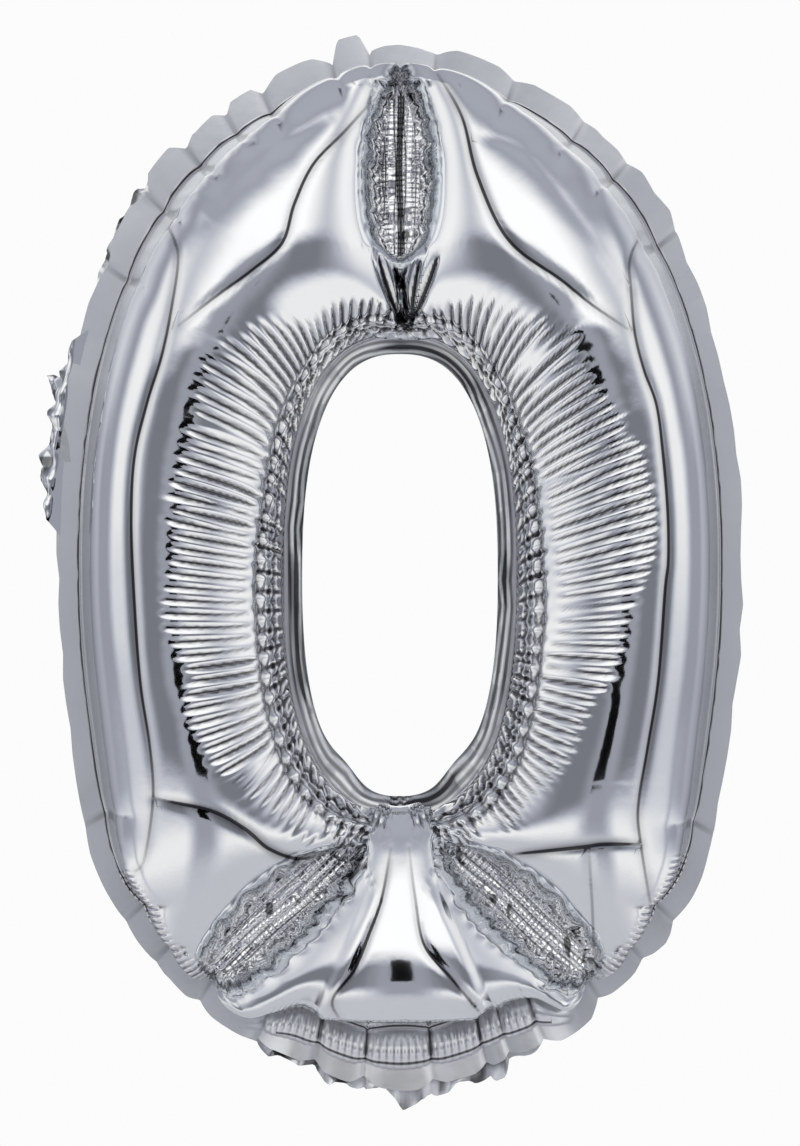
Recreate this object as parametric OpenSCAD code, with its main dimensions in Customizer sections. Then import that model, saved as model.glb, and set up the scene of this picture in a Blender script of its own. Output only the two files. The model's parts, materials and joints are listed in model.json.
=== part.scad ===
// Foil number balloon, digit zero, inflated.
// Two metallised film panels are sealed together along the digit's outside and round its
// hole, and again along three narrow welds that divide the ring into three chambers.
// An inflation tail with a flat film valve leaves the left edge and is folded back.
// X is the digit's width, Y its depth with the front towards -Y, Z up. The origin is the
// hang point, in the middle of the flange at the top.

/* [Digit] */
// Overall height of the inflated digit, over the flange
digit_h = 346; // [320:1:380]
// Overall width of the inflated digit, over the flange
digit_w = 229; // [215:1:250]
// Overall depth of the inflated panels
depth = 66; // [50:1:72]
// Height of the hole, inside its flange
hole_h = 147; // [130:1:155]
// Width of the hole, inside its flange
hole_w = 65; // [55:1:75]
// How far the hole's centre lies below the digit's centre
hole_drop = 3; // [0:1:5]

/* [Seams] */
// Width of the flange outside the digit
outer_flange = 8; // [6:0.5:10]
// Width of the flange round the hole
inner_flange = 6.5; // [5:0.5:8]
// Width of the sealed band next to each seam line
bond_w = 4; // [2:0.5:4.5]
// Half the width of the weld at the top
top_weld_half = 6; // [4:0.5:9]
// Half the width of the two lower welds
low_weld_half = 6.5; // [4:0.5:9.5]

/* [Film] */
// Thickness of a foil panel, ten times the real film's
film = 0.3; // [0.2:0.05:0.4]
// Half the gap between the two panels where they are bonded
half_gap = 0.3; // [0.3:0.05:0.4]
// Thickness of one valve film
valve_film = 0.2; // [0.1:0.05:0.2]

/* [Inflation tail] */
// Length of the tail beyond its fold
tail_len = 50; // [40:1:60]
// Width of the tail
tail_w = 34; // [26:1:38]
// Width of the tail where it flares into the flange
tail_root_w = 60; // [52:1:62]
// Width of the flat valve channel inside the tail
valve_w = 20; // [14:1:20]
// How far the valve reaches into the chamber
valve_reach = 45; // [30:1:50]
// How far the tail is folded back from lying flat
tail_fold = 84; // [0:1:115]
// Height of the tail's middle above the digit's centre
tail_rise = 45; // [30:1:48]

/* [Hidden] */

foil_colour = "silver";
bond_colour = "gainsboro";
valve_colour = "whitesmoke";

hang_inset = 4;                          // the hang point, below the flange's top edge
digit_z = hang_inset - digit_h / 2;      // the digit's centre
outer_n = 2.2;                           // roundness of the outside, where 2 is an ellipse
hole_n = 2.5;                            // roundness of the hole
side_columns = 22;                       // columns of film across each tall chamber
low_columns = 11;                        // columns of film across the lower chamber
rows = 12;                               // steps of film from the hole's seam to the outer seam
wall_reach = 60;                         // how far from a weld the film still rises
passage = 0.5;                           // how far the film stays open past a weld's ends
narrow_end = 0.6;                        // half the width of the crease past a weld's ends
weld_blunt = 0.3;                        // how blunt a weld's ends are, where 1 is pointed
bond_steps = 144;                        // corners of each seam bond
inner_bend = 35;                         // angle from straight down to a lower weld's outer end
inner_start = 5;                         // the same at the weld's inner end

// Where the outside departs from a plain superellipse, the same on the left and the right:
// [angle from the top, spread of the angle, how far it grows].
FULLNESS = [[23, 14, -3], [126, 12, 5.5], [164, 9, -3.5]];

// Welds, clockwise from the top as seen from the front:
// [angle at the hole, angle at the outside, start, end, half width].
// The angles run clockwise from the top. Start and end are shares of the way outwards.
WELDS = [
    [0, 0, 0.28, 0.90, top_weld_half],
    [180 - inner_start, 180 - inner_bend, 0.18, 0.95, low_weld_half],
    [180 + inner_start, 180 + inner_bend, 0.18, 0.95, low_weld_half]
];

function mix(a, b, s) = a + (b - a) * s;
function unit(v) = v / norm(v);

// A point of a superellipse with half axes a and b, at an angle clockwise from the top.
function rounded(a, b, n, angle) =
    let (s = sin(angle), c = cos(angle))
    [a * sign(s) * pow(abs(s), 2 / n), b * sign(c) * pow(abs(c), 2 / n)];

function fullness(angle) =
    let (a = angle > 180 ? 360 - angle : angle)
    [for (f = FULLNESS) f[2] * exp(-pow((a - f[0]) / f[1], 2))] * [for (f = FULLNESS) 1];
function outer_line(grow, angle) =
    let (p = rounded(digit_w / 2 - outer_flange + grow, digit_h / 2 - outer_flange + grow, outer_n, angle))
    p + fullness(angle) * unit(p) + [0, digit_z];
function inner_line(grow, angle) =
    rounded(hole_w / 2 + inner_flange + grow, hole_h / 2 + inner_flange + grow, hole_n, angle)
    + [0, digit_z - hole_drop];

// The straight middle line of weld k, its unit direction, and the unit direction across it.
function weld_point(k, t) =
    mix(inner_line(0, WELDS[k][0]), outer_line(0, WELDS[k][1]), t);
function weld_along(k) = unit(weld_point(k, 1) - weld_point(k, 0));
function weld_across(k) = let (d = weld_along(k)) [d.y, -d.x];
function in_weld(k, t) = t >= WELDS[k][2] && t <= WELDS[k][3];
function weld_half(k, t) =
    let (s = (t - WELDS[k][2]) / (WELDS[k][3] - WELDS[k][2]))
    in_weld(k, t) ? max(narrow_end, WELDS[k][4] * pow(sin(180 * s), weld_blunt)) : narrow_end;

// A column of film: [weld before it, weld after it, share of the way between them].
// A weld's own columns have both welds the same, and their share is -1, 0 or 1 across it.
function chamber_columns(before, after, count) =
    [for (i = [1:count]) [before, after, i / (count + 1)]];
function weld_columns(k) = [for (side = [-1:1]) [k, k, side]];
COLUMNS = concat(
    weld_columns(0), chamber_columns(0, 1, side_columns),
    weld_columns(1), chamber_columns(1, 2, low_columns),
    weld_columns(2), chamber_columns(2, 0, side_columns)
);

// Where a column crosses the share t of the way outwards, flat, as [x, z].
function turn(k, which, full) = WELDS[k][which] + (full && k == 0 ? 360 : 0);
function chamber_point(c, t) =
    let (
        a = c[0],
        b = c[1],
        u = c[2],
        at_hole = mix(WELDS[a][0], turn(b, 0, true), u),
        at_rim = mix(WELDS[a][1], turn(b, 1, true), u),
        aside = weld_across(a) * weld_half(a, t) * pow(1 - u, 3)
            - weld_across(b) * weld_half(b, t) * pow(u, 3)
    )
    mix(inner_line(0, at_hole), outer_line(0, at_rim), t) + aside;
function flat_point(c, t) =
    c[0] == c[1]
    ? weld_point(c[0], t) + weld_across(c[0]) * weld_half(c[0], t) * c[2]
    : chamber_point(c, t);

// How far a point stands from weld k's edge, on the side given as 1 or -1.
function clear_of(k, p, t, side) =
    let (off = (p - weld_point(k, 0)) * weld_across(k) * side - weld_half(k, t))
    min(wall_reach, max(0, off) + (in_weld(k, t) ? 0 : passage));

// How far the film stands out from the seam plane.
function height(c, p, t) =
    let (
        across = sqrt(clear_of(c[0], p, t, 1) * clear_of(c[1], p, t, -1)),
        along = depth * sqrt(max(0, t * (1 - t))),
        both = pow(pow(across, 4) + pow(along, 4), 1 / 4)
    )
    both > 0 ? across * along / both : 0;
function weld_height(c, t) =
    in_weld(c[0], t) ? 0 : min(sqrt(passage * wall_reach), depth * sqrt(max(0, t * (1 - t))));

// The film's inner face, row by row outwards: flange edge, seam, tube, seam, flange edge.
SHARES = [for (j = [0:rows]) (1 - cos(180 * j / rows)) / 2];
function rim_point(c, outside) =
    let (
        a = c[0],
        u = a == c[1] ? 0 : c[2],
        which = outside ? 1 : 0,
        angle = mix(WELDS[a][which], turn(c[1], which, a != c[1]), u),
        seam = flat_point(c, outside ? 1 : 0),
        line = outside ? outer_line(0, angle) : inner_line(0, angle),
        edge = outside ? outer_line(outer_flange, angle) : inner_line(-inner_flange, angle)
    )
    seam + edge - line;
function solid_point(p, h) = [p.x, -half_gap - h, p.y];
function column_points(c) = concat(
    [solid_point(rim_point(c, false), 0)],
    [for (t = SHARES)
        let (p = flat_point(c, t))
        solid_point(p, c[0] == c[1] ? weld_height(c, t) : height(c, p, t))],
    [solid_point(rim_point(c, true), 0)]
);
INSIDE = [for (c = COLUMNS) column_points(c)];
WIDE = len(COLUMNS);
TALL = len(INSIDE[0]);

// The outer face lies one film thickness away from the inner one.
function outward(i, j) =
    let (
        before = INSIDE[(i + WIDE - 1) % WIDE][j],
        after = INSIDE[(i + 1) % WIDE][j],
        below = INSIDE[i][j - 1],
        above = INSIDE[i][j + 1],
        n = unit(cross(above - below, after - before))
    )
    n.y > 0 ? -n : n;
function seam_outward(i, j) =
    let (edge = INSIDE[i][j == 1 ? 0 : TALL - 1]) unit(edge - INSIDE[i][j]) + [0, -1, 0];
function offset_at(i, j) =
    j == 0 || j == TALL - 1 ? [0, -1, 0]
    : j == 1 || j == TALL - 2 ? seam_outward(i, j)
    : outward(i, j);
OUTSIDE = [for (i = [0:WIDE - 1]) [for (j = [0:TALL - 1]) INSIDE[i][j] + film * offset_at(i, j)]];

// Corner numbers: all of the inner face, column by column, and then all of the outer face.
function corner(i, j, face) = face * WIDE * TALL + (i % WIDE) * TALL + j;
function two(a, b, c, d) = [[a, b, c], [a, c, d]];
FACES = [for (i = [0:WIDE - 1]) each concat(
    [for (j = [0:TALL - 2]) each
        two(corner(i, j, 1), corner(i, j + 1, 1), corner(i + 1, j + 1, 1), corner(i + 1, j, 1))],
    [for (j = [0:TALL - 2]) each
        two(corner(i, j, 0), corner(i + 1, j, 0), corner(i + 1, j + 1, 0), corner(i, j + 1, 0))],
    two(corner(i, 0, 0), corner(i, 0, 1), corner(i + 1, 0, 1), corner(i + 1, 0, 0)),
    two(corner(i, TALL - 1, 0), corner(i + 1, TALL - 1, 0),
        corner(i + 1, TALL - 1, 1), corner(i, TALL - 1, 1))
)];

module panel() {
    polyhedron(points = concat([for (c = INSIDE) each c], [for (c = OUTSIDE) each c]),
        faces = FACES, convexity = 8);
}

module front_panel() {
    color(foil_colour) panel();
}

module back_panel() {
    color(foil_colour) mirror([0, 1, 0]) panel();
}

// A flat outline in the seam plane, made into a sheet between two depths.
module sheet(near, far) {
    translate([0, far, 0]) rotate([90, 0, 0]) linear_extrude(far - near) children();
}

module outline(inside, grow) {
    polygon([for (i = [0:bond_steps - 1])
        let (angle = 360 * i / bond_steps)
        inside ? inner_line(grow, angle) : outer_line(grow, angle)]);
}

// The tail's fold line follows the edge of the flange at its height.
function rim_at(rise) =
    let (s = pow(1 - pow(rise / (digit_h / 2), outer_n), 1 / outer_n)) [-digit_w / 2 * s, digit_z + rise];
fold_low = rim_at(tail_rise - tail_root_w / 2);
fold_high = rim_at(tail_rise + tail_root_w / 2);
fold_gap = 3.3;                          // from the chord of the flange's edge to the fold line
fold_lean = atan2(fold_high.x - fold_low.x, fold_high.y - fold_low.y);
fold_point = (fold_low + fold_high) / 2 - [fold_gap, 0];

module at_fold() {
    translate([fold_point.x, 0, fold_point.y]) rotate([0, fold_lean, 0]) children();
}

// The passage for the valve films through the outer bond.
module valve_slot() {
    translate(fold_point) rotate(-fold_lean)
        translate([-1, -valve_w / 2 - 1]) square([outer_flange + bond_w + 4, valve_w + 2]);
}

module outer_seam_bond() {
    color(bond_colour) sheet(-half_gap, half_gap) difference() {
        outline(false, bond_w);
        outline(false, 0);
        valve_slot();
    }
}

module inner_seam_bond() {
    color(bond_colour) sheet(-half_gap, half_gap) difference() {
        outline(true, 0);
        outline(true, -bond_w);
    }
}

weld_inset = 0.4;                        // the weld's fused layer stops short of its creases
weld_steps = 16;
module weld(k) {
    shares = [for (i = [1:weld_steps - 1]) mix(WELDS[k][2], WELDS[k][3], i / weld_steps)];
    halves = [for (t = shares) max(narrow_end, weld_half(k, t)) - weld_inset];
    near = [for (i = [0:len(shares) - 1])
        weld_point(k, shares[i]) + weld_across(k) * halves[i]];
    far = [for (i = [len(shares) - 1:-1:0])
        weld_point(k, shares[i]) - weld_across(k) * halves[i]];
    color(bond_colour) sheet(-half_gap, half_gap) polygon(concat(near, far));
}

module top_weld() {
    weld(0);
}

module lower_right_weld() {
    weld(1);
}

module lower_left_weld() {
    weld(2);
}

// The valve: two films, sealed to each other along their long edges.
valve_inset = 1.2;                       // from the fold line to the valve's films on each side
valve_clear = 0.05;                      // between a valve film and what it lies against
seal_w = 2;                              // width of each edge seal of the valve
module valve_sheet(near, far, first, last) {
    sheet(near, far) translate([first, -valve_w / 2]) square([last - first, valve_w]);
}

module valve_front_film() {
    color(valve_colour) at_fold()
        valve_sheet(-valve_clear - valve_film, -valve_clear, valve_inset, valve_reach);
}

module valve_back_film() {
    color(valve_colour) at_fold()
        valve_sheet(valve_clear, valve_clear + valve_film, valve_inset, valve_reach);
}

module valve_edge_seals() {
    color(bond_colour) at_fold() for (side = [-1, 1])
        sheet(-valve_clear, valve_clear)
            translate([valve_inset, side * (valve_w - seal_w) / 2 - seal_w / 2])
                square([valve_reach - valve_inset - seal_w, seal_w]);
}

// The tail, drawn flat and pointing along -X from its fold line, then folded back.
root_inset = 0.8;                        // from the fold line to the tail's plies
corner_r = 3;                            // round corners at the tail's mouth
mouth_lip = 12;                          // from the valve's outer end to the tail's mouth
arc_steps = 6;
flare_r = (tail_root_w - tail_w) / 2;
function arc(centre, r, from, to) =
    [for (i = [0:arc_steps]) centre + r * [cos(mix(from, to, i / arc_steps)),
        sin(mix(from, to, i / arc_steps))]];
TAIL_HALF = concat(
    arc([-root_inset - flare_r, tail_root_w / 2], flare_r, 0, -90),
    arc([-tail_len + corner_r, tail_w / 2 - corner_r], corner_r, 90, 180)
);
TAIL = concat(TAIL_HALF, [for (i = [len(TAIL_HALF) - 1:-1:0]) [TAIL_HALF[i].x, -TAIL_HALF[i].y]]);

module folded() {
    at_fold() rotate([0, 0, -tail_fold]) children();
}

module tail_front_ply() {
    color(foil_colour) folded() sheet(-half_gap - film, -half_gap) polygon(TAIL);
}

module tail_back_ply() {
    color(foil_colour) folded() sheet(half_gap, half_gap + film) polygon(TAIL);
}

channel_clear = 0.5;                     // between the valve's edge and the tail's bond
module tail_edge_bond() {
    channel = valve_w + 2 * channel_clear;
    color(bond_colour) folded() sheet(-half_gap, half_gap) difference() {
        polygon(TAIL);
        translate([-tail_len - 1, -channel / 2]) square([tail_len + 2, channel]);
    }
}

module tail_valve_front_film() {
    color(valve_colour) folded()
        valve_sheet(-valve_clear - valve_film, -valve_clear, mouth_lip - tail_len, -valve_inset);
}

module tail_valve_back_film() {
    color(valve_colour) folded()
        valve_sheet(valve_clear, valve_clear + valve_film, mouth_lip - tail_len, -valve_inset);
}

front_panel();
back_panel();
outer_seam_bond();
inner_seam_bond();
top_weld();
lower_right_weld();
lower_left_weld();
valve_front_film();
valve_back_film();
valve_edge_seals();
tail_front_ply();
tail_back_ply();
tail_edge_bond();
tail_valve_front_film();
tail_valve_back_film();
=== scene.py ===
"""The inflated foil digit: how its film, seams, tail and valve look, round the CAD frame."""
import json
import math

import bpy
import numpy as np
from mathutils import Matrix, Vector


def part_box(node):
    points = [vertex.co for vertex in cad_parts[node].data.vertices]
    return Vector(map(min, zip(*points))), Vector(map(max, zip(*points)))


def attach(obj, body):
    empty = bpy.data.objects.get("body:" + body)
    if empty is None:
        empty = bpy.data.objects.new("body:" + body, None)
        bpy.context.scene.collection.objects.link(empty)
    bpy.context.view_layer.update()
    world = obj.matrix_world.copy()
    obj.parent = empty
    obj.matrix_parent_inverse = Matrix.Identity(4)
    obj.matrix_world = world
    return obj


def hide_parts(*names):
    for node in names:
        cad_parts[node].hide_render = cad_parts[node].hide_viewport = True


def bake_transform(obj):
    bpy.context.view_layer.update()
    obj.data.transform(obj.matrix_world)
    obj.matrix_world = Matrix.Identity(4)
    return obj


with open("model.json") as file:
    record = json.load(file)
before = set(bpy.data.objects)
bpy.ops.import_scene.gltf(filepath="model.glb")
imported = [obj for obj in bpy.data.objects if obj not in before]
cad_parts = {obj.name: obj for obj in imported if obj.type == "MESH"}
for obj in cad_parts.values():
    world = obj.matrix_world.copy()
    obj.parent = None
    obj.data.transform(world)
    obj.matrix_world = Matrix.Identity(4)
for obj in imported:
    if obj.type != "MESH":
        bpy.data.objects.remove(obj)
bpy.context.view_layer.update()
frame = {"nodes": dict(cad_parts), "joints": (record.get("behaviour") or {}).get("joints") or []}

MM = 0.001
FLOOR_BELOW = 0.11                          # metres from the digit down to the floor

# The digit's outlines repeat the CAD's, in millimetres about the digit's centre.
# Turns are degrees about that centre, clockwise from the top.
OUTER = (106.5, 165.0, 2.2)                 # half width, half height and power of the outer seam
INNER = (39.0, 80.0, 2.5)                   # the same, of the hole's seam
DROP = -3.0                                 # of the hole's centre
OUTER_FLANGE, INNER_FLANGE = 8.0, 6.5       # widths
DEPTH = 33.0                                # from the seam plane to the tube's crown
REACH = 60.0                                # from a weld, how far it holds the film down
WELD_TURNS_IN = (0, 175, 185)
WELD_TURNS_OUT = (0, 145, 215)
WELDS = ((0.28, 0.90, 6.0), (0.18, 0.95, 6.5), (0.18, 0.95, 6.5))   # start and stop (shares), half width
WELD_BLUNT = 0.3                            # a lower power gives a weld blunter ends
FULLNESS = ((23, 14, -3.0), (126, 12, 5.5), (164, 9, -3.5))         # turn, spread, how much fuller
SHARES = (0.42, 0.16, 0.42)                 # of the columns, in the chamber after each weld
PLY_GAP = 0.12                              # from the seam plane to a ply
VALVE_GAP = 0.30                            # the same, where the valve lies between the plies
GRID = (960, 84, 8, 10)                     # the film's columns, rows, and rows in each flange
COARSE, MIDDLE = (320, 24, 2, 2), (640, 44, 2, 3)   # the same, of the films that it is refined from
FILM_SHARE = 1.5                            # the film's length over the tube, to its seams' distance
WAVE_COLUMNS = 6                            # columns of film in one wrinkle
CROWN_SHIFT = 7.0                           # how far the wrinkled side pushes the tube's crown out
LOBE_DEEP = 12.0                            # from the fold above the lower edge's lobes to the seam
LOBE_SHARE = 0.6                            # of the rows outside the fold, in the lobes
BARE_LOW, BARE_LEFT = (156, 165, 198, 207), (300, 304, 313, 317)   # turns where the back flange shows
COLUMN_PITCH = 0.9                          # between columns, along the outer seam
# Fold lines are painted shade: they darken the foil's colour along folds, creases and seams.
NO_FOLD = 9.0                               # a distance at which a fold's line doesn't show
LINE_SOFT = (1.6, 2.8)                      # from a fold, where its line starts and stops fading
MANY_BANDS, MIDDLE_BAND = 120, 50           # of beads beside each other on a weld, more than it has

# The tail, in millimetres, with its fold in degrees. Its lengths and widths repeat the CAD's.
TAIL_LONG, TAIL_WIDE, TAIL_ROOT, TAIL_FOLD = 50.0, 34.0, 60.0, 84.0
TAIL_RADIUS = 0.7                           # of its bend at the fold
TAIL_CLEAR = 2.2                            # from the fold to where the bonds and the valve start
VALVE_HALF = 9.8                            # half the valve films' width
EDGE_BOND = 10.5                            # from the tail's middle to its edge bonds

# How far the hole's wrinkles reach along the film: (turn, reach)
WRINKLE_REACH = ((0, 20), (25, 36), (40, 48), (55, 56), (72, 58), (88, 56), (96, 46), (115, 40), (135, 31),
                 (150, 23), (180, 12), (210, 23), (225, 31), (245, 40), (262, 44), (275, 52), (300, 56),
                 (318, 48), (335, 36), (360, 20))
# Notches of the outer seam: (turn, depth, half width, petal of the flange)
NOTCHES = ((5, 2.0, 6, 0.25), (18, 1.4, 7, 0.2), (31, 0.9, 7, 0.1), (40, 1.2, 6, 0.2), (52, 0.7, 6, 0.0),
           (118, 0.7, 4, 0.0), (130, 3.5, 14, 0.1), (137, 1.2, 5, 0.1), (146, 4.5, 7, 0.3),
           (157, 2.4, 4, 0.1), (163, 1.8, 4, 0.2), (167, 1.8, 4, 0.2), (175.5, 1.8, 5, 0.3),
           (185, 1.8, 5, 0.3), (193, 2.0, 5, 0.2), (203, 1.5, 5, 0.1), (214, 4.5, 7, 0.1),
           (223, 1.4, 5, 0.0), (230, 3.5, 14, 0.0), (243, 0.8, 5, 0.0), (303, 0.7, 6, 0.2),
           (314, 1.2, 7, 0.5), (323, 1.4, 8, 0.3), (331, 0.9, 6, 0.4), (338, 1.6, 8, 0.3),
           (350, 1.8, 5, 0.9), (356, 1.8, 4, 0.1))
CRIMPS = ((122, 142), (216, 236), (157, 203))  # turns between which the outer seam is finely crimped
# Where the film beside the outer seam has more to gather: (turn, spread, how much)
CORNERS = ((325, 22, 1.0), (25, 22, 0.5), (180, 30, 1.2), (130, 12, 0.5), (230, 12, 0.5))
# Grooves round the hole: (distance from the seam, depth, swing, seed); the depth also sets how dark its
# painted shade is
GROOVES = ((5.0, 0.35, 0.5, 21), (8.5, 0.75, 1.5, 22), (12.5, 0.5, 0.6, 23), (18.5, 0.45, 0.7, 24))
# Creases of each panel: (points in x and z, depth, width, darkness of the painted shade along it, depth and
# reach of the slopes beside it)
CREASES = (
    (((-84, 114), (-78, 113), (-74, 107), (-72, 99), (-74, 83), (-77, 68), (-82, 52), (-86, 35), (-87, 15),
      (-86, -11), (-84, -38), (-81, -58), (-80, -75), (-83, -95), (-87, -100)), 0.4, 1.5, 0.85, 0.4, 5),
    (((88, 106), (84, 108), (80, 109), (75, 100), (75, 89), (76, 75), (79, 63), (83, 52), (85, 37),
      (86.6, 18), (86.8, 2), (85.7, -8), (83.5, -37), (80, -59), (77, -78), (78, -90), (81, -107),
      (84, -118)), 0.4, 1.5, 0.85, 0.3, 5),
    (((-80, -75), (-61, -79), (-50, -85), (-42, -92), (-31, -96), (-18, -92)), 0.35, 1.6, 1.0, 0.35, 6),
    (((78, -90), (66, -90), (59, -91), (43, -93), (36, -94)), 0.35, 1.6, 1.0, 0.5, 7),
    (((61, -92), (62, -107), (64, -130), (70, -136)), 0.25, 1.5, 0.45, 0.3, 4),
    (((-8, 153), (-18, 141), (-28, 130), (-34, 117), (-38, 104), (-48, 95), (-59, 87), (-72, 77)),
     0.3, 1.5, 0.85, 0.15, 5),
    (((12, 161), (20, 146), (25, 126), (35, 105), (52, 92), (62, 84), (74, 76)), 0.3, 1.5, 0.9, 0.15, 5),
    (((-62, 112), (-52, 125), (-40, 136), (-22, 146)), 0.25, 2.0, 0.0, 0.6, 6),
    (((24, 140), (40, 134), (58, 112), (74, 90)), 0.25, 2.0, 0.0, 0.6, 6),
    (((-3, -92), (-6, -108), (-10, -119), (-15, -131), (-22, -141), (-19, -149)), 0.3, 1.4, 0.8, 0.3, 5),
    (((3, -92), (5, -108), (8, -123), (17, -134), (27, -147), (28, -152)), 0.3, 1.4, 0.6, 0.3, 5),
    (((-7, 101), (-3, 90), (1, 78)), 1.3, 1.2, 0.8, 0, 1),
    (((12, 101), (8, 90), (3, 78)), 1.3, 1.2, 0.8, 0, 1),
    (((-2, 99), (1, 89), (2, 78)), 0.9, 0.9, 0.8, 0, 1),
    (((6, 99), (4, 89), (3, 78)), 0.9, 0.9, 0.8, 0, 1),
)


def smooth(low, high, x):
    """0 below low, 1 above high, and a smooth step between."""
    t = np.clip((x - low) / (high - low), 0, 1)
    return t * t * (3 - 2 * t)


def band(rise, full, fall, low, x):
    """Smoothly up from 0 at rise to 1 at full, and down again from 1 at fall to 0 at low."""
    return smooth(rise, full, x) * (1 - smooth(fall, low, x))


def bell(x, wide):
    """1 where x is 0, and falling off on both sides."""
    return np.exp(-(x / wide) ** 2)


def notches(column):
    """One column of the table of notches."""
    return np.array([notch[column] for notch in NOTCHES], float)


def length(v):
    return np.sqrt((v * v).sum(0))


def through(a, b, c, d, share):
    """A share of the way from b to c, on a smooth curve through all four."""
    return b + 0.5 * share * (c - a + share * (2 * a - 5 * b + 4 * c - d + share * (3 * (b - c) + d - a)))


def superellipse(half_w, half_h, n, angle):
    """Points at angles clockwise from the top, as two rows, x and z."""
    s, c = np.sin(angle), np.cos(angle)
    return np.stack([half_w * np.sign(s) * np.abs(s) ** (2 / n),
                     half_h * np.sign(c) * np.abs(c) ** (2 / n)])


def smooth_path(points, count):
    """A smooth curve through given points, as (2, count)."""
    points = np.array(points, float)
    run = np.concatenate([[0], np.cumsum(length(np.diff(points, axis=0).T))])
    at = np.linspace(0, run[-1], count)
    padded = np.concatenate([[2 * points[0] - points[1]], points, [2 * points[-1] - points[-2]]])
    k = np.clip(np.searchsorted(run, at, side="right") - 1, 0, len(points) - 2)
    f = ((at - run[k]) / (run[k + 1] - run[k]))[:, None]
    return through(*(padded[k + i] for i in range(4)), f).T


def uneven(count, steps, spread, seed):
    """Count values round a closed ring, smoothly between random ones."""
    knots = np.random.default_rng(seed).uniform(-spread, spread, steps)
    return np.interp(np.arange(count) / count, np.arange(steps) / steps, knots, period=1)


def facets(u, v, size, folds, seed):
    """The height of crumpled film, from -1 to 1: flat facets between sharp folds about size apart."""
    rng = np.random.default_rng(seed)
    total = np.zeros(np.broadcast(u, v).shape)
    for way in rng.uniform(0, math.pi, folds):
        pitch = size * rng.uniform(0.7, 1.6)
        sway = rng.uniform(0.5, 1.5)
        side = (u * math.sin(way) - v * math.cos(way)) / (pitch * 1.7)
        bend = sway * np.sin(side + rng.uniform(0, 6))
        along = (u * math.cos(way) + v * math.sin(way)) / pitch + 0.35 * bend + rng.uniform(0, 2)
        total += 2 * np.abs(along % 2 - 1) - 1
    return total / math.sqrt(folds)


def outer_line(grow, angle):
    """The digit's outside, a superellipse that is fuller low on each side."""
    p = superellipse(OUTER[0] + grow, OUTER[1] + grow, OUTER[2], angle)
    turn = np.degrees(angle) % 360
    turn = np.minimum(turn, 360 - turn)
    more = sum(much * bell(turn - where, spread) for where, spread, much in FULLNESS)
    return p * (1 + more / length(p))


def seam_point(inside, angle):
    """Points of the hole's seam, or of the outer seam with its notches."""
    if inside:
        return superellipse(*INNER, angle) + np.array([[0.0], [DROP]])
    p = outer_line(0, angle)
    dip = np.zeros_like(angle)
    radius = length(p)
    for where, deep, half, _ in NOTCHES:
        away = np.radians((np.degrees(angle) - where + 180) % 360 - 180) * radius
        dip += deep * np.exp(-np.abs(away) / half * 1.6)
    return p * (1 - dip / radius)


def stations(inside, count):
    """Angles of the columns along a seam. The welds sit at fixed shares of the columns."""
    turns = np.radians((WELD_TURNS_IN if inside else WELD_TURNS_OUT) + (360,))
    ends = np.cumsum((0,) + SHARES)
    fine_steps = 20000
    angle = np.linspace(0, 2 * np.pi, fine_steps + 1)
    p = seam_point(inside, angle)
    run = np.concatenate([[0], np.cumsum(length(np.diff(p)))])
    at = np.interp(np.arange(count) / count, ends, np.interp(turns, angle, run))
    return np.interp(at, run, angle)


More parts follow.
